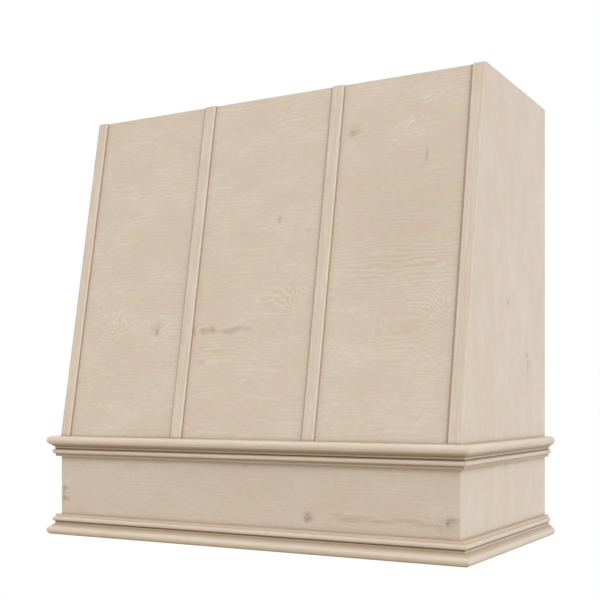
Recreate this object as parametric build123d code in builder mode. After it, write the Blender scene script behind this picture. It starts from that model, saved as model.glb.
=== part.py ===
from build123d import *
from math import atan, cos, radians, sin, tan
import os

# Wooden range hood cover, hung on a wall by a bevelled cleat. Millimetres.
# Origin: centre of the wall cleat's screw holes, on the wall.
# +X runs along the wall, +Y goes into it, +Z is up. The front faces -Y.

# Overall sizes
cover_width = 914.4
cover_height = 914.4
bottom_depth = 508.0  # wall to the apron's face
top_depth = 375.0  # wall to the sloped panel's face, at its top edge
knee_height = 193.7  # lower edge to where the front starts to lean back

# Sheets
side_thickness = 19.0
apron_thickness = 19.0
front_thickness = 12.7
corner_round = 5.0  # eased outer corners of apron, sides and edge straps

# Straps
strap_width = 25.4
strap_thickness = 6.0
strap_round = 2.5

# Mouldings: one section, used upright on top of the apron and upside down at its foot
upper_moulding_top = 211.7  # above the cover's lower edge
moulding_height = 43.5
bead_radius = 9.0
bead_projection = 21.5
bead_sweep = 40.0  # degrees that the big bead turns on past its nose
neck_projection = 8.5
neck_height = 3.0
quirk_height = 1.2  # the sharp groove between neck and small bead
small_bead_projection = 12.5
small_bead_height = 10.7
fillet_projection = 7.5
fillet_height = 5.3

# Cleats, cut apart at 45 degrees
cleat_thickness = 19.0
cleat_height = 89.0
cleat_clearance = 0.4  # upright gap between the two bevels
wall_cleat_length = 762.0
cleat_block_size = 38.0

# Rails
rail_thickness = 19.0
rail_height = 38.0
top_rail_height = 64.0
waist_rail_height = 64.0
back_rail_height = 89.0
corner_block_size = 25.0

# Insert panel, which the vent insert hangs from
insert_panel_height = 38.0  # lower edge of the cover to the panel's underside
insert_panel_thickness = 12.7
insert_panel_gap = 0.5
insert_width = 724.0
insert_depth = 286.0
insert_setback = 107.0  # wall to the cut-out's rear edge
insert_corner = 6.0

# Wall screws, which the fitter supplies
wall_hole_spacing = 406.4
wall_hole_radius = 2.6
wall_countersink_radius = 5.2

# Wood screws
screw_radius = 2.0
screw_head_radius = 4.0
screw_head_angle = 82.0
screw_clearance = 0.1
tip_clearance = 1.0
rail_screw_length = 32.0
panel_screw_length = 25.0
cleat_screw_length = 45.0
block_screw_length = 51.0
screw_end_margin = 48.0  # end of a rail to its outermost screw
apron_screw_margin = 131.0  # the same for the apron's screws, which pass between the panel's

# Places worked out from the sizes above
half_width = cover_width / 2
half_inside = half_width - side_thickness
cleat_back_height = cleat_height - cleat_thickness
cleat_bevel_low = cleat_back_height / 2
top_edge = cleat_bevel_low + cleat_clearance + cleat_height
lower_edge = top_edge - cover_height
knee = lower_edge + knee_height
apron_face = -bottom_depth
apron_inside = apron_face + apron_thickness
slope_run = (bottom_depth - top_depth) / (top_edge - knee)
slope_stretch = 1 / cos(atan(slope_run))
moulding_top = lower_edge + upper_moulding_top
panel_underside = lower_edge + insert_panel_height
frame_low = panel_underside + insert_panel_thickness
frame_top = frame_low + rail_height
front_rail_back = apron_inside + rail_thickness
waist_low = knee - waist_rail_height / 2
waist_high = knee + waist_rail_height / 2
block_back = -cleat_thickness - cleat_block_size
top_rail_behind = front_thickness + rail_thickness

os.makedirs("parts", exist_ok=True)


def sloped(height, behind=0):
    """Depth at this height of a plane that lies so far behind the sloped panel's face."""
    return apron_face + (height - knee) * slope_run + behind * slope_stretch


def spread(first, last, count):
    """Evenly spaced places from first to last."""
    return [first + (last - first) * i / (count - 1) for i in range(count)]


def write_piece(piece, name):
    """Label a finished piece and write its file."""
    piece.part.label = name
    export_step(piece.part, f"parts/{name}.step")


def write_mirrored(piece, name):
    """Write the left-hand twin of a right-hand piece."""
    with BuildPart() as twin:
        mirror(piece.part, about=Plane.YZ)
    write_piece(twin, name)


def across_section(points, reach):
    """A piece with a constant side section (depth, height), as wide as twice reach."""
    with BuildPart() as piece:
        with BuildSketch(Plane.YZ):
            with BuildLine():
                Polyline(*points, close=True)
            make_face()
        extrude(amount=reach, both=True)
    return piece


def moulding_section(away):
    """Section from the big bead's end; away is 1 where it runs up and -1 where it runs down."""
    nose_centre = bead_projection - bead_radius
    bead_end_out = nose_centre + bead_radius * cos(radians(bead_sweep))
    bead_end_along = bead_radius + bead_radius * sin(radians(bead_sweep))
    nose_out = nose_centre + bead_radius * cos(radians(bead_sweep / 2))
    nose_along = bead_radius - bead_radius * sin(radians(bead_sweep / 2))
    fillet_start = moulding_height - fillet_height
    small_start = fillet_start - small_bead_height
    small_centre = small_bead_projection - small_bead_height / 2
    neck_end = small_start - quirk_height
    neck_start = neck_end - neck_height
    with BuildSketch() as section:
        with BuildLine():
            ThreePointArc(
                (nose_centre, 0),
                (nose_out, away * nose_along),
                (bead_end_out, away * bead_end_along),
            )
            Polyline(
                (bead_end_out, away * bead_end_along),
                (neck_projection, away * neck_start),
                (neck_projection, away * neck_end),
                (small_centre, away * small_start),
            )
            ThreePointArc(
                (small_centre, away * small_start),
                (small_bead_projection, away * (small_start + fillet_start) / 2),
                (small_centre, away * fillet_start),
            )
            Polyline(
                (small_centre, away * fillet_start),
                (fillet_projection, away * fillet_start),
                (fillet_projection, away * moulding_height),
                (0, away * moulding_height),
                (0, 0),
                (nose_centre, 0),
            )
        make_face()
    return section.sketch


def countersunk_screws(fixings, length):
    """Flat-head screws, each head flush with its fixing's plane."""
    head_depth = (screw_head_radius - screw_radius) / tan(radians(screw_head_angle / 2))
    with BuildPart() as screws:
        with Locations(*fixings):
            Cylinder(screw_radius, length, align=(Align.CENTER, Align.CENTER, Align.MAX))
            Cone(
                screw_radius,
                screw_head_radius,
                head_depth,
                align=(Align.CENTER, Align.CENTER, Align.MAX),
            )
    return screws


def drill(fixings, length):
    """Bore the straight hole of each screw in the piece being made."""
    with Locations(*fixings):
        Hole(screw_radius + screw_clearance, depth=length + tip_clearance)


def drill_countersunk(fixings, length):
    """The same, with the seat of a flat head."""
    with Locations(*fixings):
        CounterSinkHole(
            screw_radius + screw_clearance,
            screw_head_radius + screw_clearance,
            depth=length + tip_clearance,
            counter_sink_angle=screw_head_angle,
        )


# Where the screws go: each plane lies on a head's face and looks out of the wood
rail_inner = half_inside - rail_thickness
side_frame_fixings = [
    Plane(origin=(rail_inner, y, frame_low + rail_height / 2), z_dir=(-1, 0, 0))
    for y in spread(front_rail_back + screw_end_margin, -rail_thickness - screw_end_margin, 3)
]
top_side_fixings = [
    Plane(origin=(rail_inner, y, top_edge - rail_height / 2), z_dir=(-1, 0, 0))
    for y in spread(
        sloped(top_edge, top_rail_behind) + screw_end_margin / 2,
        block_back - screw_end_margin / 2,
        3,
    )
]
apron_fixings = [
    Plane(origin=(x, front_rail_back, frame_low + rail_height / 2), z_dir=(0, 1, 0))
    for x in spread(-half_inside + apron_screw_margin, half_inside - apron_screw_margin, 4)
]
cleat_fixings = [
    Plane(
        origin=(
            half_inside - cleat_block_size / 2,
            0,
            top_edge - share * cleat_back_height,
        ),
        z_dir=(0, 1, 0),
    )
    for share in (0.25, 0.75)
]
block_fixings = [
    Plane(
        origin=(
            half_inside - cleat_block_size,
            -cleat_thickness - share * cleat_block_size,
            top_edge - cleat_back_height / 2,
        ),
        z_dir=(-1, 0, 0),
    )
    for share in (0.25, 0.75)
]
panel_screw_places = [
    (x, y)
    for x in spread(-half_inside + screw_end_margin, half_inside - screw_end_margin, 4)
    for y in (apron_inside + rail_thickness / 2, -rail_thickness / 2)
]
panel_screw_places += [
    (side * (half_inside - rail_thickness / 2), y)
    for side in (-1, 1)
    for y in spread(front_rail_back + 2 * screw_end_margin, -rail_thickness - 2 * screw_end_margin, 2)
]
panel_fixings = [
    Plane(origin=(x, y, panel_underside), z_dir=(0, 0, -1))
    for x, y in panel_screw_places
]

# Side panels: one sheet each, mitred to the apron below the knee
with BuildPart() as side_panel_right:
    with BuildSketch(Plane.YZ.offset(half_width)):
        with BuildLine():
            Polyline(
                (0, lower_edge),
                (apron_face, lower_edge),
                (apron_face, knee),
                (-top_depth, top_edge),
                (0, top_edge),
                close=True,
            )
        make_face()
    extrude(amount=-side_thickness)
    # the mitre, with the eased corner outside it
    with BuildSketch(Plane.XY.offset(lower_edge)):
        with BuildLine():
            corner_out = corner_round * (1 - cos(radians(45)))
            ThreePointArc(
                (half_width, apron_face + corner_round),
                (
                    half_width - corner_round * (1 - cos(radians(22.5))),
                    apron_face + corner_round * (1 - sin(radians(22.5))),
                ),
                (half_width - corner_out, apron_face + corner_out),
            )
            Polyline(
                (half_width - corner_out, apron_face + corner_out),
                (half_inside, apron_inside),
                (half_inside, apron_face - corner_round),
                (half_width + corner_round, apron_face - corner_round),
                (half_width + corner_round, apron_face + corner_round),
                (half_width, apron_face + corner_round),
            )
        make_face()
    extrude(amount=knee - lower_edge, mode=Mode.SUBTRACT)
    drill(side_frame_fixings + top_side_fixings, rail_screw_length)
    drill(block_fixings, block_screw_length)
write_piece(side_panel_right, "side_panel_right")
write_mirrored(side_panel_right, "side_panel_left")

# Sloped front panel, between the side panels and standing on the apron's top edge
sloped_front_panel = across_section(
    [
        (sloped(knee), knee),
        (sloped(top_edge), top_edge),
        (sloped(top_edge, front_thickness), top_edge),
        (sloped(knee, front_thickness), knee),
    ],
    half_inside,
)
write_piece(sloped_front_panel, "sloped_front_panel")

# Apron, mitred at both ends, with eased corners
with BuildPart() as apron_front_panel:
    with BuildSketch(Plane.XY.offset(lower_edge)):
        with BuildLine():
            ThreePointArc(
                (half_width - corner_round, apron_face),
                (
                    half_width - corner_round * (1 - sin(radians(22.5))),
                    apron_face + corner_round * (1 - cos(radians(22.5))),
                ),
                (half_width - corner_out, apron_face + corner_out),
            )
            Polyline(
                (half_width - corner_out, apron_face + corner_out),
                (half_inside, apron_inside),
                (0, apron_inside),
            )
            Line((0, apron_face), (half_width - corner_round, apron_face))
            mirror(about=Plane.YZ)
        make_face()
    extrude(amount=knee - lower_edge)
    drill(apron_fixings, rail_screw_length)
write_piece(apron_front_panel, "apron_front_panel")

# Straps: on the sloped panel, from the upper moulding's top to the top edge
edge_strap_place = half_width - strap_width / 2
inner_strap_place = cover_width / 6
strap_places = {
    "strap_left_edge": -edge_strap_place,
    "strap_left_inner": -inner_strap_place,
    "strap_right_inner": inner_strap_place,
    "strap_right_edge": edge_strap_place,
}
for strap_name, strap_x in strap_places.items():
    with BuildPart() as strap:
        with BuildSketch(Plane.YZ.offset(strap_x)):
            with BuildLine():
                Polyline(
                    (sloped(moulding_top), moulding_top),
                    (sloped(moulding_top, -strap_thickness), moulding_top),
                    (sloped(top_edge, -strap_thickness), top_edge),
                    (sloped(top_edge), top_edge),
                    close=True,
                )
            make_face()
        extrude(amount=strap_width / 2, both=True)
        for edge_x in (strap_x - strap_width / 2, strap_x + strap_width / 2):
            front_face = strap.faces().sort_by(SortBy.AREA)[-2:].sort_by(Axis.Y)[0]
            long_edge = front_face.edges().sort_by(lambda edge: abs(edge.center().X - edge_x))[0]
            at_corner = abs(edge_x) > edge_strap_place
            fillet(long_edge, corner_round if at_corner else strap_round)
    write_piece(strap, strap_name)

# Mouldings: the front run and the two side runs meet in mitres
corner_mitre = Plane(origin=(half_width, apron_face, 0), z_dir=(1, 1, 0))
moulding_rows = {
    "upper": (moulding_top, -1),
    "lower": (lower_edge, 1),
}
for row, (bead_end, away) in moulding_rows.items():
    with BuildPart() as moulding_side:
        with BuildSketch(Plane(origin=(half_width, 0, bead_end), x_dir=(1, 0, 0), z_dir=(0, -1, 0))):
            add(moulding_section(away))
        extrude(amount=bottom_depth + bead_projection)
        split(bisect_by=corner_mitre, keep=Keep.TOP)
    write_piece(moulding_side, f"{row}_moulding_right")
    write_mirrored(moulding_side, f"{row}_moulding_left")

    with BuildPart() as moulding_front:
        with BuildSketch(Plane(origin=(0, apron_face, bead_end), x_dir=(0, -1, 0), z_dir=(-1, 0, 0))):
            add(moulding_section(away))
        extrude(amount=-half_width - bead_projection)
        split(bisect_by=corner_mitre, keep=Keep.BOTTOM)
        mirror(about=Plane.YZ)
    write_piece(moulding_front, f"{row}_moulding_front")

# Rails round the open top
top_front_rail = across_section(
    [
        (sloped(top_edge - top_rail_height, front_thickness), top_edge - top_rail_height),
        (sloped(top_edge, front_thickness), top_edge),
        (sloped(top_edge, top_rail_behind), top_edge),
        (sloped(top_edge - top_rail_height, top_rail_behind), top_edge - top_rail_height),
    ],
    half_inside,
)
write_piece(top_front_rail, "top_front_rail")

with BuildPart() as top_side_rail_right:
    with BuildSketch(Plane.YZ.offset(half_inside)):
        with BuildLine():
            Polyline(
                (sloped(top_edge, top_rail_behind), top_edge),
                (sloped(top_edge - rail_height, top_rail_behind), top_edge - rail_height),
                (block_back, top_edge - rail_height),
                (block_back, top_edge),
                close=True,
            )
        make_face()
    extrude(amount=-rail_thickness)
    drill_countersunk(top_side_fixings, rail_screw_length)
write_piece(top_side_rail_right, "top_side_rail_right")
write_mirrored(top_side_rail_right, "top_side_rail_left")

# Hanging cleat: its bevelled foot hooks behind the wall cleat
with BuildPart() as hanging_cleat:
    add(
        across_section(
            [
                (0, top_edge),
                (0, top_edge - cleat_height),
                (-cleat_thickness, top_edge - cleat_back_height),
                (-cleat_thickness, top_edge),
            ],
            half_inside,
        ).part
    )
    drill_countersunk(cleat_fixings, cleat_screw_length)
    split(bisect_by=Plane.YZ, keep=Keep.TOP)
    mirror(about=Plane.YZ)
write_piece(hanging_cleat, "hanging_cleat")

# Wall cleat: its bevel falls towards the wall, so that the cover can't slip forward
wall_holes = [
    Plane(origin=(side * wall_hole_spacing / 2, -cleat_thickness, 0), z_dir=(0, -1, 0))
    for side in (-1, 1)
]
with BuildPart() as wall_cleat:
    add(
        across_section(
            [
                (0, -cleat_bevel_low),
                (0, cleat_bevel_low),
                (-cleat_thickness, cleat_bevel_low + cleat_thickness),
                (-cleat_thickness, -cleat_bevel_low),
            ],
            wall_cleat_length / 2,
        ).part
    )
    with Locations(*wall_holes):
        CounterSinkHole(wall_hole_radius, wall_countersink_radius, depth=cleat_thickness)
write_piece(wall_cleat, "wall_cleat")

# Blocks in the corners of hanging cleat and side panels
with BuildPart() as cleat_blocks:
    with BuildSketch(Plane.XY.offset(top_edge - cleat_back_height)):
        with Locations((half_inside, -cleat_thickness)):
            Rectangle(cleat_block_size, cleat_block_size, align=(Align.MAX, Align.MAX))
    extrude(amount=cleat_back_height)
    drill(cleat_fixings, cleat_screw_length)
    drill_countersunk(block_fixings, block_screw_length)
    mirror(about=Plane.YZ)
write_piece(cleat_blocks, "cleat_blocks")

# Waist rail: backs the joint of sloped panel and apron
waist_rail = across_section(
    [
        (apron_inside, waist_low),
        (apron_inside, knee),
        (sloped(knee, front_thickness), knee),
        (sloped(waist_high, front_thickness), waist_high),
        (front_rail_back, waist_high),
        (front_rail_back, waist_low),
    ],
    half_inside,
)
write_piece(waist_rail, "waist_rail")

# Bottom frame, which the insert panel is screwed up into
with BuildPart() as bottom_front_rail:
    with BuildSketch(Plane.XY.offset(frame_low)):
        with Locations((0, apron_inside)):
            Rectangle(2 * half_inside, rail_thickness, align=(Align.CENTER, Align.MIN))
    extrude(amount=rail_height)
    drill_countersunk(apron_fixings, rail_screw_length)
    drill(panel_fixings, panel_screw_length)
write_piece(bottom_front_rail, "bottom_front_rail")

back_rail_holes = [
    Plane(
        origin=(
            side * wall_hole_spacing / 2,
            -rail_thickness,
            frame_low + back_rail_height / 2,
        ),
        z_dir=(0, -1, 0),
    )
    for side in (-1, 1)
]
with BuildPart() as bottom_back_rail:
    with BuildSketch(Plane.XY.offset(frame_low)):
        Rectangle(2 * half_inside, rail_thickness, align=(Align.CENTER, Align.MAX))
    extrude(amount=back_rail_height)
    with Locations(*back_rail_holes):
        CounterSinkHole(wall_hole_radius, wall_countersink_radius, depth=rail_thickness)
    drill(panel_fixings, panel_screw_length)
write_piece(bottom_back_rail, "bottom_back_rail")

with BuildPart() as bottom_side_rail_right:
    with BuildSketch(Plane.XY.offset(frame_low)):
        with BuildLine():
            Polyline(
                (half_inside, front_rail_back),
                (half_inside, -rail_thickness),
                (rail_inner, -rail_thickness),
                (rail_inner, front_rail_back),
                close=True,
            )
        make_face()
    extrude(amount=rail_height)
    drill_countersunk(side_frame_fixings, rail_screw_length)
    drill(panel_fixings, panel_screw_length)
write_piece(bottom_side_rail_right, "bottom_side_rail_right")
write_mirrored(bottom_side_rail_right, "bottom_side_rail_left")

# Blocks behind the mitred apron corners, between the bottom frame and the waist rail
with BuildPart() as apron_corner_blocks:
    with BuildSketch(Plane.XY.offset(frame_top)):
        with Locations((half_inside, apron_inside)):
            Rectangle(corner_block_size, corner_block_size, align=(Align.MAX, Align.MIN))
    extrude(amount=waist_low - frame_top)
    mirror(about=Plane.YZ)
write_piece(apron_corner_blocks, "apron_corner_blocks")

# Insert panel with the cut-out that the vent insert goes up into
panel_width = 2 * (half_inside - insert_panel_gap)
panel_depth = -apron_inside - 2 * insert_panel_gap
with BuildPart() as insert_panel:
    with BuildSketch(Plane.XY.offset(panel_underside)):
        with Locations((0, -insert_panel_gap)):
            Rectangle(panel_width, panel_depth, align=(Align.CENTER, Align.MAX))
        with Locations((0, -insert_setback - insert_depth / 2)):
            RectangleRounded(insert_width, insert_depth, insert_corner, mode=Mode.SUBTRACT)
    extrude(amount=insert_panel_thickness)
    drill_countersunk(panel_fixings, panel_screw_length)
write_piece(insert_panel, "insert_panel")

# Screws
side_rail_screws = countersunk_screws(side_frame_fixings + top_side_fixings, rail_screw_length)
with side_rail_screws:
    mirror(about=Plane.YZ)
write_piece(side_rail_screws, "side_rail_screws")

apron_rail_screws = countersunk_screws(apron_fixings, rail_screw_length)
write_piece(apron_rail_screws, "apron_rail_screws")

cleat_screws = countersunk_screws(cleat_fixings, cleat_screw_length)
with cleat_screws:
    mirror(about=Plane.YZ)
write_piece(cleat_screws, "cleat_screws")

cleat_block_screws = countersunk_screws(block_fixings, block_screw_length)
with cleat_block_screws:
    mirror(about=Plane.YZ)
write_piece(cleat_block_screws, "cleat_block_screws")

insert_panel_screws = countersunk_screws(panel_fixings, panel_screw_length)
write_piece(insert_panel_screws, "insert_panel_screws")
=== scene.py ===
import math

import bpy
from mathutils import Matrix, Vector


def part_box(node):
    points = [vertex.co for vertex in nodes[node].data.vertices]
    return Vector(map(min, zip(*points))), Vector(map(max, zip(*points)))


# Wooden range hood cover, hung on a wall. Metres, in the frame's own axes: +X along the wall, +Y into it,
# +Z up, with the origin at the wall cleat's screw holes.

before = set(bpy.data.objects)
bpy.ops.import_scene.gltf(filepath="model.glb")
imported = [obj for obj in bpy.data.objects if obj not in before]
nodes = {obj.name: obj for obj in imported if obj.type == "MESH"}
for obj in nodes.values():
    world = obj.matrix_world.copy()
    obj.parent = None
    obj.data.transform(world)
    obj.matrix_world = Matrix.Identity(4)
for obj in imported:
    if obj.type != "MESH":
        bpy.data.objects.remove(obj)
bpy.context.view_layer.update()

MM = 0.001

# ---------------------------------------------------------------- sizes read from the frame
COVER_LOW, COVER_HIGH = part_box("side_panel_right")
SIDE_FACE = COVER_HIGH[0]  # outer face of the right side panel
LOWER_EDGE = COVER_LOW[2]
APRON_FACE = COVER_LOW[1]
UPPER_LOW, UPPER_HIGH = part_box("upper_moulding_front")
LOWER_LOW, LOWER_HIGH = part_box("lower_moulding_front")
STRAP_LOW, STRAP_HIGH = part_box("strap_right_inner")
EDGE_STRAP_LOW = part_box("strap_right_edge")[0]


def lean_of_front():
    """Angle of the sloped panel from upright, from its own corners."""
    low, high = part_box("sloped_front_panel")
    corners = [v.co for v in nodes["sloped_front_panel"].data.vertices]
    top_front = min(c.y for c in corners if c.z > high[2] - MM)
    return math.atan((top_front - low[1]) / (high[2] - low[2]))


LEAN = lean_of_front()
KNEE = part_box("sloped_front_panel")[0][2]  # height at which the front starts to lean back


# ---------------------------------------------------------------- small helpers
def srgb(code):
    """'#rrggbb' as the linear colour that a shader wants."""
    parts = [int(code[i:i + 2], 16) / 255 for i in (1, 3, 5)]
    return [p / 12.92 if p <= 0.04045 else ((p + 0.055) / 1.055) ** 2.4 for p in parts] + [1.0]


def in_mm(metres):
    """A length or place in millimetres."""
    return metres / MM


def add_node(tree, kind, sockets=None, **settings):
    """Add a node, set its settings, and set or link its sockets by name or number."""
    made = tree.nodes.new(kind)
    for name, value in settings.items():
        setattr(made, name, value)
    for name, value in (sockets or {}).items():
        if isinstance(value, bpy.types.NodeSocket):
            tree.links.new(value, made.inputs[name])
        else:
            made.inputs[name].default_value = value
    return made


# ---------------------------------------------------------------- camera, lights, floor
# The camera that the photograph's corners and edges fit: level, from the right, with its frame shifted up and
# a little aside.
FRAME_WIDTH = 36  # millimetres, as the lens
LENS = 64.2
SHIFT_ASIDE = 0.0354  # shares of the frame's width
SHIFT_UP = 0.1686
CAMERA_ASIDE = 1.1150  # right of the cover's middle
CAMERA_AHEAD = 1.7730  # in front of the apron
CAMERA_ABOVE = 0.2870  # over the cover's lower edge
CAMERA_TURN = 30.054  # degrees from square on
VIEW_END = 200  # metres that the camera sees

# name; how much comes from the right, the front and above; strength; softness in degrees; colour
LAMPS = [
    ("light_right", (0.50, -0.03, 0.20), 1.48, 70, "#f8fbff"),
    ("light_front", (0.02, 0.335, 0.45), 1.70, 60, "#fffdfa"),
    ("light_behind", (-0.55, -0.60, 0.30), 0.95, 60, "#fffdfa"),
]
AMBIENT = 0.40
AMBIENT_COLOUR = "#fffdf9"
WHITE = (1, 1, 1, 1)

FLOOR_BELOW = 1.65  # the cover hangs this far above the floor
FLOOR_HALF = 6
FLOOR_COLOUR = "#d5cbbc"


def place_camera():
    """The photograph's view."""
    camera = bpy.data.objects.new("camera", bpy.data.cameras.new("camera"))
    bpy.context.scene.collection.objects.link(camera)
    camera.data.sensor_width = FRAME_WIDTH
    camera.data.lens = LENS
    camera.data.shift_x = SHIFT_ASIDE
    camera.data.shift_y = SHIFT_UP
    camera.data.clip_end = VIEW_END
    camera.location = (CAMERA_ASIDE, APRON_FACE - CAMERA_AHEAD, LOWER_EDGE + CAMERA_ABOVE)
    camera.rotation_euler = (math.radians(90), 0, math.radians(CAMERA_TURN))
    bpy.context.scene.camera = camera


def far_light(name, source, strength, softness, colour):
    """Even light from far off."""
    lamp = bpy.data.lights.new(name, "SUN")
    lamp.color = srgb(colour)[:3]
    lamp.energy = strength
    lamp.angle = math.radians(softness)
    light = bpy.data.objects.new(name, lamp)
    bpy.context.scene.collection.objects.link(light)
    right, front, above = source
    light.rotation_euler = Vector((right, -front, above)).to_track_quat("Z", "Y").to_euler()


def seen_white(tree, lit, white):
    """The white shader to the eye and in reflections, and the lit one to everything else."""
    path = add_node(tree, "ShaderNodeLightPath")
    seen = path.outputs["Is Camera Ray"]
    for kind in ("Is Glossy Ray", "Is Transmission Ray"):
        sockets = {0: seen, 1: path.outputs[kind]}
        seen = add_node(tree, "ShaderNodeMath", sockets, operation="MAXIMUM").outputs[0]
    return add_node(tree, "ShaderNodeMixShader", {0: seen, 1: lit.outputs[0], 2: white.outputs[0]})


def light_the_room():
    """Even studio light: strongest from above and from the right, little from below, and some from behind on
    the left, so that the cover's other sides show their own colours too."""
    world = bpy.data.worlds.new("studio")
    bpy.context.scene.world = world
    world.use_nodes = True
    tree = world.node_tree
    tree.nodes.clear()
    ambient = add_node(tree, "ShaderNodeBackground", {"Color": srgb(AMBIENT_COLOUR), "Strength": AMBIENT})
    white = add_node(tree, "ShaderNodeBackground", {"Color": WHITE, "Strength": 1.0})
    add_node(tree, "ShaderNodeOutputWorld", {"Surface": seen_white(tree, ambient, white).outputs[0]})
    for lamp in LAMPS:
        far_light(*lamp)


def lay_floor():
    """Plain pale floor, far below the cover: matt, and white to the eye."""
    half = FLOOR_HALF
    height = LOWER_EDGE - FLOOR_BELOW
    mesh = bpy.data.meshes.new("floor")
    mesh.from_pydata(
        [(-half, -half, height), (half, -half, height), (half, half, height), (-half, half, height)],
        [],
        [(0, 1, 2, 3)],
    )
    floor = bpy.data.objects.new("floor", mesh)
    bpy.context.scene.collection.objects.link(floor)
    pale = bpy.data.materials.new("pale_floor")
    pale.use_nodes = True
    tree = pale.node_tree
    tree.nodes.clear()
    matt = add_node(tree, "ShaderNodeBsdfDiffuse", {"Color": srgb(FLOOR_COLOUR)})
    white = add_node(tree, "ShaderNodeEmission", {"Color": WHITE, "Strength": 1.0})
    add_node(tree, "ShaderNodeOutputMaterial", {"Surface": seen_white(tree, matt, white).outputs[0]})
    mesh.materials.append(pale)


# ---------------------------------------------------------------- colours and sizes of the finishes
WASH_SHADE = "#c9b496"  # growth lines that show through the whitewash
WASH = "#d4c6b6"  # pickled birch: whitewash rubbed into the wood and wiped off
WASH_LIGHT = "#ebe3d6"  # where more of the wash stayed
WASH_PALE_PAINTED_LIGHT = "#dbcdbc"  # the front mouldings: painted light, a paler wash than the sides' so that they read brighter
WASH_WARM = "#d2c4b5"  # the apron's sheet, a little redder than the rest
WASH_STRAW = "#d3caaa"  # the wood's own drift towards straw and towards rose
WASH_ROSE = "#dbc2b8"
KNOT_BROWN = "#967d63"
STREAK_BROWN = "#ae9a82"
GLAZE_AND_SHADE_BROWN = "#806335"  # brown of the glaze left in the recesses; the same brown also paints shade in the recesses, beside the straps and on the outer corners
# shade, middle and light of each wood and of the screws
WASHED = (WASH_SHADE, WASH, WASH_LIGHT)
WASHED_WARM = (WASH_SHADE, WASH_WARM, WASH_LIGHT)
PINE = ("#c8a678", "#dcc398", "#e9d7b5")
PLY = ("#c5ab82", "#dac6a3", "#e7d8bd")
ZINC = ("#9da1a3", "#b9bdbf", "#d2d5d6")

IOR = 1.5  # of wood and of its clear finish; also the default, which the metal keeps
SATIN = 0.54  # roughness of the clear coat
MATT = 0.62  # roughness of planed, bare wood
SHINE = 0.34  # roughness of zinc plating
GLOSS_SWING = 0.06  # how far the roughness goes up and down with the grain
SATIN_RELIEF = 0.06  # height of the fibres, in millimetres: filled by the finish, and left open
OPEN_RELIEF = 0.10
RELIEF_SHARE = 0.6

# Patches of light and dark, in millimetres along and across the grain. Real fibres are tenths of a millimetre
# wide, too fine to show, so they are drawn coarser.
SHEET_FIBRE, SHEET_FLECK, SHEET_CLOUD = (34, 2.8), (15, 6.5), (110, 60)
STICK_FIBRE, STICK_FLECK, STICK_CLOUD = (60, 2.4), (17, 6), (110, 30)
BARE_FIBRE, BARE_CLOUD = (50, 1.5), (140, 40)
SHEET_DRIFT, STICK_DRIFT = (46, 22), (60, 20)
SHOWING = (90, 30)  # where the growth lines show more and less
CURL = (26, 5)
MARK_FIBRE = (9, 2.6)  # the fibres that break up knots and streaks
ZINC_CLOUD = (2, 2)
FINE = 2.0  # noise detail of small patches; large ones have 1

# Growth lines: how far apart they lie in millimetres, and how many gaps they wander.
SHEET_LINES, STICK_LINES = (8.5, 5.0), (5.0, 2.2)
PINE_LINES, BARE_PLY_LINES = (4.0, 3.0), (9.0, 3.0)
LONG_WAVE, SHORT_WAVE = (230, 48), (55, 15)  # patches that they wander in
SHORT_SHARE = 0.25  # of the wander, in short waves
HILL_STRAY = (45, 70)  # hills and marks have ragged outlines: patch size and swing
MARK_STRAY = (9, 7)
PLY_THICK = 2.11  # millimetres; real plies of 1.45 are too fine to show, so they are drawn coarser
# how strongly each piece's wood shows through the wash
FRONT_FIGURE, APRON_FIGURE, SIDE_FIGURE = 0.95, 0.75, 0.6
STRAP_FIGURE, MOULDING_FIGURE = 2.0, 1.0
SHEET_DRIFTING, STICK_DRIFTING = 1.6, 1.5  # strength of the drift in colour
# the pith that sawn wood's rings lie round: its place across and through the piece
STRAP_PITH = (-300, 900)
MOULDING_PITH = (-400, 300)
PINE_PITH = (-60, 45)


# ---------------------------------------------------------------- wood patterns
# All patterns are worked out in millimetres of the real piece. "place" is the surface point in the frame's
# axes, and "grain" is the same point as along, across and through the grain.
def start_finish(name, metallic=0.0):
    """A material with an empty shader; gives back the material, its node tree and the shader."""
    material = bpy.data.materials.new(name)
    material.use_nodes = True
    tree = material.node_tree
    tree.nodes.clear()
    shader = add_node(tree, "ShaderNodeBsdfPrincipled", {"IOR": IOR, "Metallic": metallic})
    add_node(tree, "ShaderNodeOutputMaterial", {"Surface": shader.outputs[0]})
    return material, tree, shader


def turned_upright(tree, vector, lean):
    """A point or direction on a piece that leans back, turned as if the piece stood upright."""
    if not lean:
        return vector
    return add_node(tree, "ShaderNodeVectorRotate", {"Vector": vector, "Angle": lean},
                    rotation_type="X_AXIS").outputs[0]


def place_in_mm(tree, lean=0.0):
    """The surface point in millimetres, turned upright first where the piece leans back."""
    point = turned_upright(tree, add_node(tree, "ShaderNodeTexCoord").outputs["Object"], lean)
    return add_node(tree, "ShaderNodeVectorMath", {0: point, "Scale": 1 / MM}, operation="SCALE").outputs[0]


def up_slope(height):
    """Height of a place on the leaning front, measured up the front as place_in_mm has it."""
    depth = in_mm(APRON_FACE) + (height - in_mm(KNEE)) * math.tan(LEAN)
    return depth * math.sin(LEAN) + height * math.cos(LEAN)


def along_grain(tree, place, order):
    """The place as along, across and through the grain; order names the axes, such as 'xzy'."""
    split = add_node(tree, "ShaderNodeSeparateXYZ", {0: place})
    sockets = {i: split.outputs["xyz".index(axis)] for i, axis in enumerate(order)}
    return add_node(tree, "ShaderNodeCombineXYZ", sockets).outputs[0]


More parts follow.
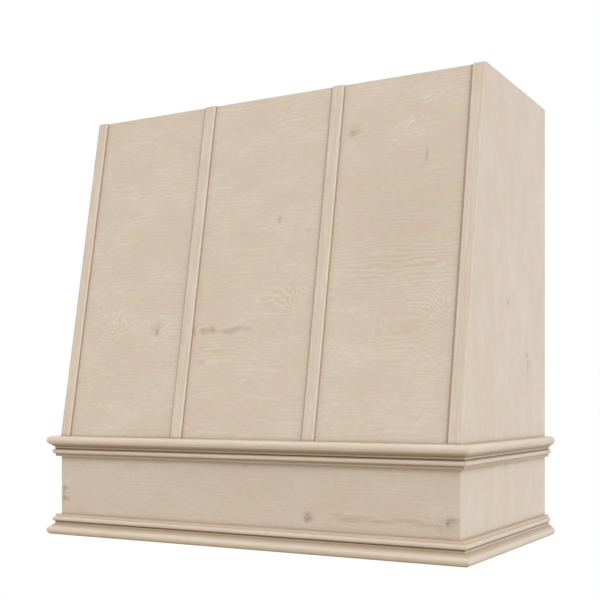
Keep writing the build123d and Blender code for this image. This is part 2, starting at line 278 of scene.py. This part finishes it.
def patches(tree, grain, along, across, detail=1.0):
    """Soft random light and dark, from -0.5 to 0.5, in patches so many millimetres long and wide."""
    scaled = add_node(tree, "ShaderNodeVectorMath", {0: grain, 1: (1 / along, 1 / across, 1 / across)},
                      operation="MULTIPLY").outputs[0]
    noise = add_node(tree, "ShaderNodeTexNoise", {"Vector": scaled, "Scale": 1.0, "Detail": detail})
    return add_node(tree, "ShaderNodeMath", {0: noise.outputs[0], 1: 0.5}, operation="SUBTRACT").outputs[0]


def weighed(tree, start, terms):
    """The start value with each term added so many times."""
    total = start
    for term, weight in terms:
        sockets = {0: term, 1: weight, 2: total}
        total = add_node(tree, "ShaderNodeMath", sockets, operation="MULTIPLY_ADD").outputs[0]
    return total


def near_marks(tree, place, marks, wide_axis=0):
    """How near a place is to marks of the wood, each a soft spot (middle, height, half width, half height,
    strength); their width lies along x, or along y where wide_axis is 1."""
    total = 0.0
    for middle, height, half_wide, half_high, strength in marks:
        scale, shift = [0, 0, 1 / half_high], [0, 0, -height / half_high]
        scale[wide_axis], shift[wide_axis] = 1 / half_wide, -middle / half_wide
        local = add_node(tree, "ShaderNodeVectorMath", {0: place, 1: scale, 2: shift},
                         operation="MULTIPLY_ADD").outputs[0]
        reach = add_node(tree, "ShaderNodeVectorMath", {0: local}, operation="LENGTH")
        spot = add_node(tree, "ShaderNodeMapRange",
                        {"Value": reach.outputs["Value"], "To Min": strength, "To Max": 0.0},
                        interpolation_type="SMOOTHERSTEP")
        total = add_node(tree, "ShaderNodeMath", {0: spot.outputs[0], 1: total}, operation="ADD").outputs[0]
    return total


def strayed(tree, place, size, swing):
    """The place moved aside at random by up to half the swing, alike within patches of the size."""
    noise = add_node(tree, "ShaderNodeTexNoise", {"Vector": place, "Scale": 1 / size, "Detail": FINE})
    moved = add_node(tree, "ShaderNodeVectorMath", {0: noise.outputs["Color"], 1: (swing,) * 3, 2: place},
                     operation="MULTIPLY_ADD").outputs[0]
    return add_node(tree, "ShaderNodeVectorMath", {0: moved, 1: (swing / 2,) * 3},
                    operation="SUBTRACT").outputs[0]


def ring_lines(tree, grain, gap, wander, hills=None, pith=None):
    """Growth lines from -1 to 1, so far apart in mm. Sliced veneer: level lines of a slowly rolling surface,
    which close into arcs round a hill. Sawn wood: rings round a pith at (across, through)."""
    long_waves = patches(tree, grain, *LONG_WAVE)
    short_waves = patches(tree, grain, *SHORT_WAVE)
    if pith:
        local = add_node(tree, "ShaderNodeVectorMath", {0: grain, 1: (0, 1, 1), 2: (0, -pith[0], -pith[1])},
                         operation="MULTIPLY_ADD").outputs[0]
        distance = add_node(tree, "ShaderNodeVectorMath", {0: local}, operation="LENGTH").outputs["Value"]
    else:
        distance = add_node(tree, "ShaderNodeSeparateXYZ", {0: grain}).outputs["Y"]
    field = weighed(tree, 0.0, [(distance, 1 / gap), (long_waves, wander),
                                (short_waves, wander * SHORT_SHARE)])
    if hills is not None:
        field = add_node(tree, "ShaderNodeMath", {0: field, 1: hills}, operation="ADD").outputs[0]
    turn = add_node(tree, "ShaderNodeMath", {0: field, 1: math.tau}, operation="MULTIPLY")
    return add_node(tree, "ShaderNodeMath", {0: turn.outputs[0]}, operation="SINE").outputs[0]


def shaded(tree, tone, colours):
    """Colour from light and dark: dark at 0, the wood's own colour at 0.5, light at 1."""
    ramp = add_node(tree, "ShaderNodeValToRGB", {"Fac": tone})
    stops = ramp.color_ramp.elements
    stops[0].color, stops[1].color = srgb(colours[0]), srgb(colours[2])
    stops.new(0.5).color = srgb(colours[1])
    return ramp.outputs[0]


def mixed(tree, colour, other, amount):
    """So much of the other colour in place of the first."""
    mix = add_node(tree, "ShaderNodeMix", {"Factor": amount, "A": colour, "B": other}, data_type="RGBA")
    return mix.outputs["Result"]


def drifted(tree, colour, drift, strength):
    """The colour drifting here and there towards straw and towards rose, as washed wood does."""
    colour = mixed(tree, colour, srgb(WASH_STRAW), weighed(tree, 0.0, [(drift, strength)]))
    return mixed(tree, colour, srgb(WASH_ROSE), weighed(tree, 0.0, [(drift, -strength)]))


def finish_wood(tree, shader, colour, tone, roughness, relief):
    """Colour, gloss that varies a little with the grain, and the fine relief of the fibres."""
    gloss = add_node(tree, "ShaderNodeMapRange",
                     {"Value": tone, "To Min": roughness + GLOSS_SWING, "To Max": roughness - GLOSS_SWING})
    bump = add_node(tree, "ShaderNodeBump",
                    {"Height": tone, "Distance": relief * MM, "Strength": RELIEF_SHARE})
    tree.links.new(colour, shader.inputs["Base Color"])
    tree.links.new(gloss.outputs[0], shader.inputs["Roughness"])
    tree.links.new(bump.outputs[0], shader.inputs["Normal"])


def banded(tree, measure, stops):
    """Amount of a stain, or of painted shade or highlight, at each measure in millimetres, from (measure,
    amount) pairs that start at 0.
    """
    length = stops[-1][0]
    even = add_node(tree, "ShaderNodeMath", {0: measure, 1: length}, operation="DIVIDE")
    ramp = add_node(tree, "ShaderNodeValToRGB", {"Fac": even.outputs[0]})
    elements = ramp.color_ramp.elements
    while len(elements) < len(stops):
        elements.new(0.5)
    for element, (at, amount) in zip(elements, stops):
        element.position = at / length
        element.color = (amount, amount, amount, 1)
    return ramp.outputs[0]


def beside(tree, place, lines):
    """How much of a stain, or of painted shade or highlight, lies beside lines, each an axis, a place on it,
    a share, a reach and the bands that give the amount at each distance in millimetres for a share and a
    reach of 1."""
    split = add_node(tree, "ShaderNodeSeparateXYZ", {0: place})
    most = 0.0
    for axis, at, share, reach, bands in lines:
        gap = add_node(tree, "ShaderNodeMath", {0: split.outputs[axis], 1: at}, operation="SUBTRACT")
        gap = add_node(tree, "ShaderNodeMath", {0: gap.outputs[0]}, operation="ABSOLUTE").outputs[0]
        amount = banded(tree, gap, [(distance * reach, amount * share) for distance, amount in bands])
        most = add_node(tree, "ShaderNodeMath", {0: amount, 1: most}, operation="MAXIMUM").outputs[0]
    return most


def facing_out(tree, order, lean, is_side):
    """How squarely a panel's surface faces out of the cover: 1 outer face, 0 cut edge, -1 inner face. A side
    panel faces away from the middle, any other one faces the front."""
    normal = turned_upright(tree, add_node(tree, "ShaderNodeTexCoord").outputs["Normal"], lean)
    through = add_node(tree, "ShaderNodeSeparateXYZ", {0: along_grain(tree, normal, order)}).outputs["Z"]
    outward = -1.0
    if is_side:
        point = add_node(tree, "ShaderNodeTexCoord").outputs["Object"]
        across = add_node(tree, "ShaderNodeSeparateXYZ", {0: point}).outputs["X"]
        outward = add_node(tree, "ShaderNodeMath", {0: across}, operation="SIGN").outputs[0]
    return add_node(tree, "ShaderNodeMath", {0: through, 1: outward}, operation="MULTIPLY").outputs[0]


def cut_edge(tree, outward):
    """1 on a panel's cut edges, 0 on its faces."""
    squarely = add_node(tree, "ShaderNodeMath", {0: outward}, operation="ABSOLUTE").outputs[0]
    return add_node(tree, "ShaderNodeMath", {0: squarely, 1: 0.5}, operation="LESS_THAN").outputs[0]


def plies(tree, grain):
    """Colour of plywood's cut edge: pale plies that run along it between browner end-grain ones."""
    through = add_node(tree, "ShaderNodeSeparateXYZ", {0: grain}).outputs["Z"]
    turn = add_node(tree, "ShaderNodeMath", {0: through, 1: math.tau / (2 * PLY_THICK)}, operation="MULTIPLY")
    wave = add_node(tree, "ShaderNodeMath", {0: turn.outputs[0]}, operation="SINE").outputs[0]
    return shaded(tree, weighed(tree, 0.5, [(wave, 0.26), (patches(tree, grain, 30, 4, FINE), 0.6)]), PLY)


def curled(tree, tone, place, grain, curls, wide_axis):
    """Light and dark with the wood's curls added: short ripples, turned from the grain."""
    for *spot_sizes, turn in curls:
        spot = near_marks(tree, place, [spot_sizes], wide_axis)
        turned = add_node(tree, "ShaderNodeVectorRotate", {"Vector": grain, "Angle": math.radians(-turn)},
                          rotation_type="Z_AXIS").outputs[0]
        ripples = add_node(tree, "ShaderNodeMath", {0: patches(tree, turned, *CURL), 1: spot},
                           operation="MULTIPLY").outputs[0]
        tone = weighed(tree, tone, [(ripples, 0.75), (spot, 0.04)])
    return tone


def marked(tree, colour, place, grain, stain, marks, wide_axis):
    """The colour with knots or streaks in it, broken up along the fibres."""
    amount = near_marks(tree, strayed(tree, place, *MARK_STRAY), marks, wide_axis)
    broken = weighed(tree, 1.0, [(patches(tree, grain, *MARK_FIBRE, FINE), 1.7)])
    amount = add_node(tree, "ShaderNodeMath", {0: amount, 1: broken}, operation="MULTIPLY").outputs[0]
    return mixed(tree, colour, srgb(stain), amount)


# ---------------------------------------------------------------- materials
def washed_ply(name, order, lean, tones, figure, joints, hills, zones, curls, knots, streaks, is_side=False):
    """Birch plywood, pickled, glazed and clear-coated. To the eye: a pale, close face with faint wandering
    growth lines and a few knots, a soft satin gloss, and brown along the joints: glaze, with painted shade
    beside the straps and under the mouldings. Its inner face is bare and its cut edges show the plies. The
    figure is how strongly the wood shows through the wash."""
    material, tree, shader = start_finish(name)
    wide_axis = 1 if is_side else 0
    place = place_in_mm(tree, lean)
    grain = along_grain(tree, place, order)
    rise = near_marks(tree, strayed(tree, place, *HILL_STRAY), hills, wide_axis)
    rings = ring_lines(tree, grain, *SHEET_LINES, hills=rise)
    show = weighed(tree, 0.22, [(near_marks(tree, place, zones, wide_axis), 1.0),
                                (patches(tree, grain, *SHOWING), 1.1)])
    lines = add_node(tree, "ShaderNodeMath", {0: rings, 1: show}, operation="MULTIPLY").outputs[0]
    fibre = patches(tree, grain, *SHEET_FIBRE, FINE)
    fleck = patches(tree, grain, *SHEET_FLECK, FINE)
    cloud = patches(tree, grain, *SHEET_CLOUD)
    tone = weighed(tree, 0.5, [(lines, 0.20 * figure), (fibre, 0.28 * figure), (fleck, 0.36 * figure),
                               (cloud, 0.34)])
    tone = curled(tree, tone, place, grain, curls, wide_axis)
    colour = shaded(tree, tone, tones)
    colour = drifted(tree, colour, patches(tree, grain, *SHEET_DRIFT, FINE), SHEET_DRIFTING * figure)
    colour = marked(tree, colour, place, grain, STREAK_BROWN, streaks, wide_axis)
    colour = marked(tree, colour, place, grain, KNOT_BROWN, knots, wide_axis)
    # brown glaze along the joints, with painted shade: a painted shadow beside each strap and under the upper
    # moulding
    colour = mixed(tree, colour, srgb(GLAZE_AND_SHADE_BROWN), beside(tree, place, joints))
    outward = facing_out(tree, order, lean, is_side)
    inner = add_node(tree, "ShaderNodeMath", {0: outward, 1: -0.5}, operation="LESS_THAN").outputs[0]
    colour = mixed(tree, colour, shaded(tree, tone, PLY), inner)
    colour = mixed(tree, colour, plies(tree, grain), cut_edge(tree, outward))
    finish_wood(tree, shader, colour, tone, SATIN, SATIN_RELIEF)
    return material


def washed_wood(name, order, lean, pith, middle_tone, figure, hollows, arrises=(), corners=()):
    """Solid birch, pickled, glazed and clear-coated. To the eye: fine straight growth lines under a soft
    satin gloss, brown glaze and painted shade in the hollows, a painted highlight along the arrises, and
    painted shade that dims the highlight on the outer corners."""
    material, tree, shader = start_finish(name)
    place = place_in_mm(tree, lean)
    grain = along_grain(tree, place, order)
    rings = ring_lines(tree, grain, *STICK_LINES, pith=pith)
    fibre = patches(tree, grain, *STICK_FIBRE, FINE)
    fleck = patches(tree, grain, *STICK_FLECK, FINE)
    cloud = patches(tree, grain, *STICK_CLOUD)
    tone = weighed(tree, 0.5, [(rings, 0.06), (fibre, 0.30 * figure), (fleck, 0.26), (cloud, 0.26)])
    colour = shaded(tree, tone, (WASH_SHADE, middle_tone, WASH_LIGHT))
    colour = drifted(tree, colour, patches(tree, grain, *STICK_DRIFT, FINE), STICK_DRIFTING)
    # painted highlight along the arrises, in the pale wash's colour
    if arrises:
        colour = mixed(tree, colour, srgb(WASH_LIGHT), beside(tree, place, arrises))
    split = add_node(tree, "ShaderNodeSeparateXYZ", {0: place})
    # glaze and painted shade in the hollows
    for axis, sign, start, inward, stops in hollows:
        measure = add_node(tree, "ShaderNodeMath", {0: split.outputs[axis], 1: sign, 2: -sign * start},
                           operation="MULTIPLY_ADD").outputs[0]
        amount = banded(tree, measure, stops)
        if inward:
            aside = add_node(tree, "ShaderNodeMath", {0: split.outputs["X"]}, operation="ABSOLUTE")
            within = add_node(tree, "ShaderNodeMath", {0: aside.outputs[0], 1: inward}, operation="LESS_THAN")
            amount = add_node(tree, "ShaderNodeMath", {0: amount, 1: within.outputs[0]},
                              operation="MULTIPLY").outputs[0]
        colour = mixed(tree, colour, srgb(GLAZE_AND_SHADE_BROWN), amount)
    # painted shade on the outer corners, dimming their highlight
    if corners:
        colour = mixed(tree, colour, srgb(GLAZE_AND_SHADE_BROWN), beside(tree, place, corners))
    finish_wood(tree, shader, colour, tone, SATIN, SATIN_RELIEF)
    return material


def bare_wood(name, order, lines, colours, pith=None, laminated=False):
    """Planed pine, or birch plywood where laminated, left bare. To the eye: warmer and yellower than the
    washed wood, matt, with plain growth lines."""
    material, tree, shader = start_finish(name)
    place = place_in_mm(tree)
    grain = along_grain(tree, place, order)
    rings = ring_lines(tree, grain, *lines, pith=pith)
    fibre = patches(tree, grain, *BARE_FIBRE, FINE)
    cloud = patches(tree, grain, *BARE_CLOUD)
    tone = weighed(tree, 0.5, [(rings, 0.16), (fibre, 0.35), (cloud, 0.3)])
    colour = shaded(tree, tone, colours)
    if laminated:
        colour = mixed(tree, colour, plies(tree, grain), cut_edge(tree, facing_out(tree, order, 0, False)))
    finish_wood(tree, shader, colour, tone, MATT, OPEN_RELIEF)
    return material


def zinc_steel():
    """Zinc-plated steel. To the eye: bluish white metal with a soft, slightly cloudy shine."""
    material, tree, shader = start_finish("zinc_steel", metallic=1.0)
    cloud = patches(tree, place_in_mm(tree), *ZINC_CLOUD, FINE)
    tree.links.new(shaded(tree, weighed(tree, 0.5, [(cloud, 0.8)]), ZINC), shader.inputs["Base Color"])
    tree.links.new(weighed(tree, SHINE, [(cloud, 0.2)]), shader.inputs["Roughness"])
    return material


def dress(names, material):
    """Give the named pieces this one material."""
    for name in names:
        mesh = nodes[name].data
        mesh.materials.clear()
        mesh.materials.append(material)


# ---------------------------------------------------------------- marks of the wood on this cover
# (middle, height, half width, half height, strength) in millimetres. Hills bend the growth lines round them,
# and zones are where the lines show more.
FRONT_KNOTS = [(190, 21, 13, 11, 0.34), (195, 26, 32, 20, 0.2), (351, -40, 7, 22, 0.36),
               (377, -100, 5, 26, 0.12), (218, -155, 9, 9, 0.14), (41, -138, 8, 15, 0.42),
               (112, -166, 17, 7, 0.14), (-231, -360, 9, 11, 0.42), (-236, -352, 26, 17, 0.24),
               (87, -271, 10, 10, 0.12)]
# The first streak is a broad, faint darkening over the right bay: painted shade, partly the sheet's own tone.
FRONT_STREAKS = [(315, -190, 190, 300, 0.15), (-136, -361, 9, 22, 0.5), (-112, -360, 24, 12, 0.6),
                 (-92, -358, 13, 14, 0.52), (-52, -362, 26, 11, 0.6), (-30, -357, 20, 10, 0.56),
                 (-76, -361, 40, 5, 0.35), (-10, -358, 26, 6, 0.34), (-104, -393, 30, 6, 0.16),
                 (-72, -404, 40, 7, 0.3), (-111, -424, 16, 9, 0.24), (-60, -428, 34, 6, 0.14),
                 (-210, -372, 40, 9, 0.1), (-231, -340, 30, 9, 0.12)]
FRONT_HILLS = [(-388, -337, 42, 40, 3.0), (-335, -361, 36, 34, 2.6), (67, -254, 66, 36, 2.0),
               (106, -306, 48, 50, 2.6), (393, -342, 40, 70, 3.0), (250, -372, 60, 40, 2.4),
               (189, 21, 60, 34, 2.4), (41, -138, 60, 30, 1.2), (85, -330, 140, 95, 3.0),
               (-370, -350, 110, 80, 4.0), (-232, -358, 70, 34, 1.8), (300, -420, 190, 95, 3.0),
               (-300, 20, 160, 80, 2.5)]
FRONT_ZONES = [(300, -246, 190, 78, 0.66), (330, -380, 150, 55, 0.35), (85, -300, 100, 70, 0.6),
               (388, -350, 60, 76, 0.55), (-372, -345, 70, 56, 0.6), (-330, -370, 120, 70, 0.35),
               (-200, -355, 60, 30, 0.4), (-60, -395, 110, 40, 0.5), (380, -300, 60, 60, 0.4)]
# the same with the curl's turn from level, in degrees
FRONT_CURLS = [(352, 72, 46, 26, 1.1, 28), (308, 32, 74, 30, 1.2, 34), (40, -12, 110, 26, 0.55, 86),
               (80, -350, 60, 40, 0.6, 86), (-400, -300, 42, 26, 0.9, 45), (-345, -335, 60, 46, 0.8, 62),
               (-395, -365, 50, 30, 0.5, -35), (395, -270, 40, 30, 0.7, 25), (360, -330, 80, 40, 0.5, 40),
               (330, -405, 110, 34, 0.5, -20)]
APRON_KNOTS = [(152, -721, 14, 16, 0.46), (153, -724, 22, 21, 0.22), (432, -719, 9, 11, 0.44),
               (440, -712, 28, 10, 0.36), (436, -722, 28, 24, 0.24), (416, -726, 12, 16, 0.2)]
APRON_STREAKS = [(238, -722, 46, 9, 0.5), (300, -723, 50, 7, 0.48), (352, -717, 56, 6, 0.42),
                 (392, -723, 44, 6, 0.48), (-443, -713, 18, 8, 0.9), (-444, -690, 16, 7, 0.5),
                 (-448, -702, 9, 30, 0.4), (215, -713, 26, 6, 0.36), (266, -716, 40, 6, 0.34),
                 (12, -629, 14, 8, 0.34), (392, -709, 40, 4, 0.14)]
APRON_HILLS = [(153, -721, 60, 26, 1.6), (436, -730, 56, 44, 2.6), (-443, -705, 60, 40, 2.4),
               (20, -700, 90, 26, 1.6)]
APRON_ZONES = [(270, -712, 170, 24, 0.5), (436, -728, 50, 34, 0.7), (20, -700, 130, 26, 0.4),
               (-443, -700, 50, 40, 0.6)]
APRON_CURLS = [(34, -700, 52, 20, 1.1, -24), (0, -662, 26, 16, 0.8, -50), (-200, -700, 60, 14, 0.6, -12),
               (200, -728, 50, 14, 0.5, 60), (-430, -680, 30, 20, 0.5, 30)]
SIDE_KNOTS = [(-252, -310, 7, 6, 0.5), (-252, -312, 18, 14, 0.16), (-130, -408, 18, 9, 0.36),
              (-122, -430, 11, 24, 0.4), (-285, -376, 7, 9, 0.22)]
SIDE_STREAKS = [(-128, -452, 14, 40, 0.12), (-190, -205, 40, 12, 0.05)]
SIDE_HILLS = [(-252, -310, 30, 60, 1.2), (-122, -416, 34, 80, 2.0), (-200, -100, 60, 220, 2.0)]
SIDE_ZONES = [(-130, -400, 50, 150, 0.4), (-230, -250, 90, 300, 0.15)]

# ---------------------------------------------------------------- glaze, painted shade and painted highlight on this cover
UPPER_TOP = in_mm(UPPER_HIGH[2])
UPPER_FOOT = in_mm(UPPER_LOW[2])
LOWER_TOP = in_mm(LOWER_HIGH[2])
LOWER_FOOT = in_mm(LOWER_LOW[2])
# the right inner strap's two edges and the edge strap's inner one; the left straps mirror them
STRAP_INNER, STRAP_OUTER, EDGE_STRAP = in_mm(STRAP_LOW[0]), in_mm(STRAP_HIGH[0]), in_mm(EDGE_STRAP_LOW[0])
EDGE_STRAP_FOOT = 5  # how much of an edge strap's foot holds glaze and painted shade, from its inner edge

# Amount of glaze and painted shade at each distance from the bead's end: under the bead, less on the neck,
# most in the groove, then at the small bead's foot and on the fillet. The sides have their own amounts, set
# for the light that they get.
UPPER_BANDS = [(0, 0.4), (1.2, 0.2), (2.6, 0), (13, 0), (15.6, 0.04), (17, 0.4), (18.4, 0.56), (22.6, 0.72),
               (23.6, 0.4), (25.9, 0.4), (26.5, 0.94), (28.2, 0.86), (29.2, 0.68), (30.6, 0.3), (31.6, 0),
               (36, 0.02), (37.3, 0.3), (38.4, 0.62), (39.2, 0.58), (40.6, 0.72), (41.4, 0.62), (42.2, 0.44),
               (43.5, 0.42)]
UPPER_SIDE_BANDS = [(0, 0.4), (1.2, 0.2), (2.6, 0), (13, 0), (15.6, 0.1), (17.6, 0.36), (20, 0.55),
                    (22.6, 0.68), (23.6, 0.3), (25.6, 0.3), (26.6, 0.7), (28, 0.6), (29.2, 0.44),
                    (30.6, 0.12), (31.6, 0), (35.4, 0), (37.5, 0.26), (38.5, 0.5), (39.2, 0.34), (41.5, 0.36),
                    (42.3, 0.46), (43.5, 0.48)]
LOWER_BANDS = [(0, 0.9), (2, 0.6), (3.5, 0.27), (6, 0.12), (8.5, 0.1), (10.5, 0.04), (15, 0.06), (16.5, 0.2),
               (19, 0.42), (21.5, 0.57), (23.1, 0.66), (23.7, 0.4), (25.9, 0.38), (26.6, 0.84), (28.6, 0.82),
               (30, 0.17), (31.2, 0.06), (35.4, 0.07), (37.3, 0.15), (38.5, 0.34), (39.2, 0.13), (42, 0.12),
               (42.8, 0.28), (43.5, 0.4)]
LOWER_SIDE_BANDS = [(0, 0.95), (2, 0.66), (3.5, 0.3), (6, 0.04), (8.5, 0), (14, 0.03), (16.5, 0.3),
                    (19, 0.42), (21.5, 0.56), (22.5, 0.5), (23.2, 0.1), (25.4, 0.12), (26.5, 0.7),
                    (28.2, 0.6), (29.6, 0.06), (31.2, 0), (35.4, 0.06), (37.3, 0.2), (38.5, 0.38),
                    (39.2, 0.13), (42, 0.1), (42.8, 0.24), (43.5, 0.36)]
# glaze and painted shade up a strap's flank from the sloped panel, and up its face from the moulding
STRAP_FOOT_BANDS = [(0, 0.66), (1.0, 0.6), (2.4, 0.48), (3.6, 0.27), (4.6, 0.06), (6, 0)]
STRAP_END_BANDS = [(0, 0.5), (1.2, 0.3), (2.6, 0.1), (6, 0)]
# amount of painted highlight along a strap's arris, and of painted shade on an outer corner, where it dims
# the corner's highlight
ARRIS_HIGHLIGHT_BANDS = [(0, 0.45), (1.6, 0.4), (3.0, 0)]
CORNER_SHADE_BANDS = [(0, 0.04), (1.0, 0.1), (3.6, 0.1), (6, 0)]
# glaze and painted shade on the panels beside a moulding, and on the right and the left of a strap: a
# painted shadow lies wider on the left of each strap, as if the light came from the right
JOINT_GLAZE_SHADE_BANDS = [(0, 1.0), (1.0, 0.8), (2.4, 0.32), (5, 0.08), (12, 0)]
RIGHT_BANDS = [(0, 0.9), (0.6, 0.6), (1.6, 0.28), (4, 0.2), (9, 0.1), (15, 0)]
LEFT_BANDS = [(0, 1.0), (4.8, 0.95), (6.2, 0.25), (9, 0.09), (15, 0)]


def slope_marks(marks):
    """Marks given by plain height, measured up the leaning front."""
    return [(middle, up_slope(height), *rest) for middle, height, *rest in marks]


def dress_panels():
    """Sloped panel, apron and sides: pickled plywood, with glaze and painted shade at the straps and
    mouldings.
    """
    # axis, place on it, share, reach and bands of each joint
    front_joints = [("X", -EDGE_STRAP, 0.4, 1.0, RIGHT_BANDS), ("X", -STRAP_INNER, 0.4, 1.0, RIGHT_BANDS),
                    ("X", STRAP_OUTER, 0.4, 1.0, RIGHT_BANDS), ("X", -STRAP_OUTER, 0.42, 1.0, LEFT_BANDS),
                    ("X", STRAP_INNER, 0.45, 1.0, LEFT_BANDS), ("X", EDGE_STRAP, 0.58, 1.0, LEFT_BANDS),
                    ("Z", up_slope(UPPER_TOP), 0.38, 1.0, JOINT_GLAZE_SHADE_BANDS)]
    flat_joints = [("Z", UPPER_TOP, 0.5, 1.0, JOINT_GLAZE_SHADE_BANDS), ("Z", UPPER_FOOT, 0.16, 1.8, JOINT_GLAZE_SHADE_BANDS),
                   ("Z", LOWER_TOP, 0.46, 1.1, JOINT_GLAZE_SHADE_BANDS)]
    front = washed_ply("washed_ply_front", "xzy", LEAN, WASHED, FRONT_FIGURE, front_joints,
                       slope_marks(FRONT_HILLS), slope_marks(FRONT_ZONES), slope_marks(FRONT_CURLS),
                       slope_marks(FRONT_KNOTS), slope_marks(FRONT_STREAKS))
    apron = washed_ply("washed_ply_apron", "xzy", 0, WASHED_WARM, APRON_FIGURE, flat_joints,
                       APRON_HILLS, APRON_ZONES, APRON_CURLS, APRON_KNOTS, APRON_STREAKS)
    side = washed_ply("washed_ply_side", "zyx", 0, WASHED, SIDE_FIGURE, flat_joints,
                      SIDE_HILLS, SIDE_ZONES, [], SIDE_KNOTS, SIDE_STREAKS, is_side=True)
    dress(["sloped_front_panel"], front)
    dress(["apron_front_panel"], apron)
    dress(["side_panel_left", "side_panel_right"], side)


def dress_straps():
    """Straps: pickled birch, with glaze and painted shade at their feet, a painted highlight along each
    arris and painted shade on the outer corners.
    """
    panel_face = in_mm(APRON_FACE * math.cos(LEAN) - KNEE * math.sin(LEAN))
    foot = ("Y", -1, panel_face, EDGE_STRAP + EDGE_STRAP_FOOT, STRAP_FOOT_BANDS)
    end = ("Z", 1, up_slope(UPPER_TOP), None, STRAP_END_BANDS)
    arrises = [("X", sign * edge, 1.0, 1.0, ARRIS_HIGHLIGHT_BANDS)
               for edge in (STRAP_INNER, STRAP_OUTER, EDGE_STRAP) for sign in (-1, 1)]
    corners = [("X", sign * in_mm(SIDE_FACE), 1.0, 1.0, CORNER_SHADE_BANDS) for sign in (-1, 1)]
    strap = washed_wood("washed_wood_strap", "zxy", LEAN, STRAP_PITH, WASH, STRAP_FIGURE,
                        [foot, end], arrises, corners)
    dress([name for name in nodes if name.startswith("strap_")], strap)


def dress_mouldings():
    """Mouldings: pickled birch with brown glaze and painted shade in the hollows, each row measured from its
    bead's end. The fronts take a paler wash than the sides: painted light.
    """
    for row, away, bead_end, front_bands, side_bands in (
            ("upper", -1, UPPER_TOP, UPPER_BANDS, UPPER_SIDE_BANDS),
            ("lower", 1, LOWER_FOOT, LOWER_BANDS, LOWER_SIDE_BANDS)):
        # the fronts take the paler wash, painted light; the sides take the plain one
        front = washed_wood(f"washed_wood_{row}_front", "xzy", 0, MOULDING_PITH, WASH_PALE_PAINTED_LIGHT, MOULDING_FIGURE,
                            [("Z", away, bead_end, None, front_bands)])
        side = washed_wood(f"washed_wood_{row}_side", "yzx", 0, MOULDING_PITH, WASH, MOULDING_FIGURE,
                           [("Z", away, bead_end, None, side_bands)])
        dress([f"{row}_moulding_front"], front)
        dress([f"{row}_moulding_left", f"{row}_moulding_right"], side)


def dress_inside():
    """Rails, cleats and blocks in bare pine, the insert panel in bare plywood, and the screws."""
    along_wall = bare_wood("bare_pine_along_wall", "xzy", PINE_LINES, PINE, PINE_PITH)
    from_wall = bare_wood("bare_pine_from_wall", "yzx", PINE_LINES, PINE, PINE_PITH)
    upright = bare_wood("bare_pine_upright", "zxy", PINE_LINES, PINE, PINE_PITH)
    dress(["top_front_rail", "hanging_cleat", "wall_cleat", "waist_rail", "bottom_front_rail",
           "bottom_back_rail"], along_wall)
    dress(["top_side_rail_left", "top_side_rail_right", "bottom_side_rail_left",
           "bottom_side_rail_right"], from_wall)
    dress(["cleat_blocks", "apron_corner_blocks"], upright)
    dress(["insert_panel"], bare_wood("bare_ply", "xyz", BARE_PLY_LINES, PLY, laminated=True))
    dress([name for name in nodes if name.endswith("_screws")], zinc_steel())


bpy.context.scene.view_settings.view_transform = "Standard"
place_camera()
light_the_room()
lay_floor()
dress_panels()
dress_straps()
dress_mouldings()
dress_inside()

bpy.context.view_layer.update()
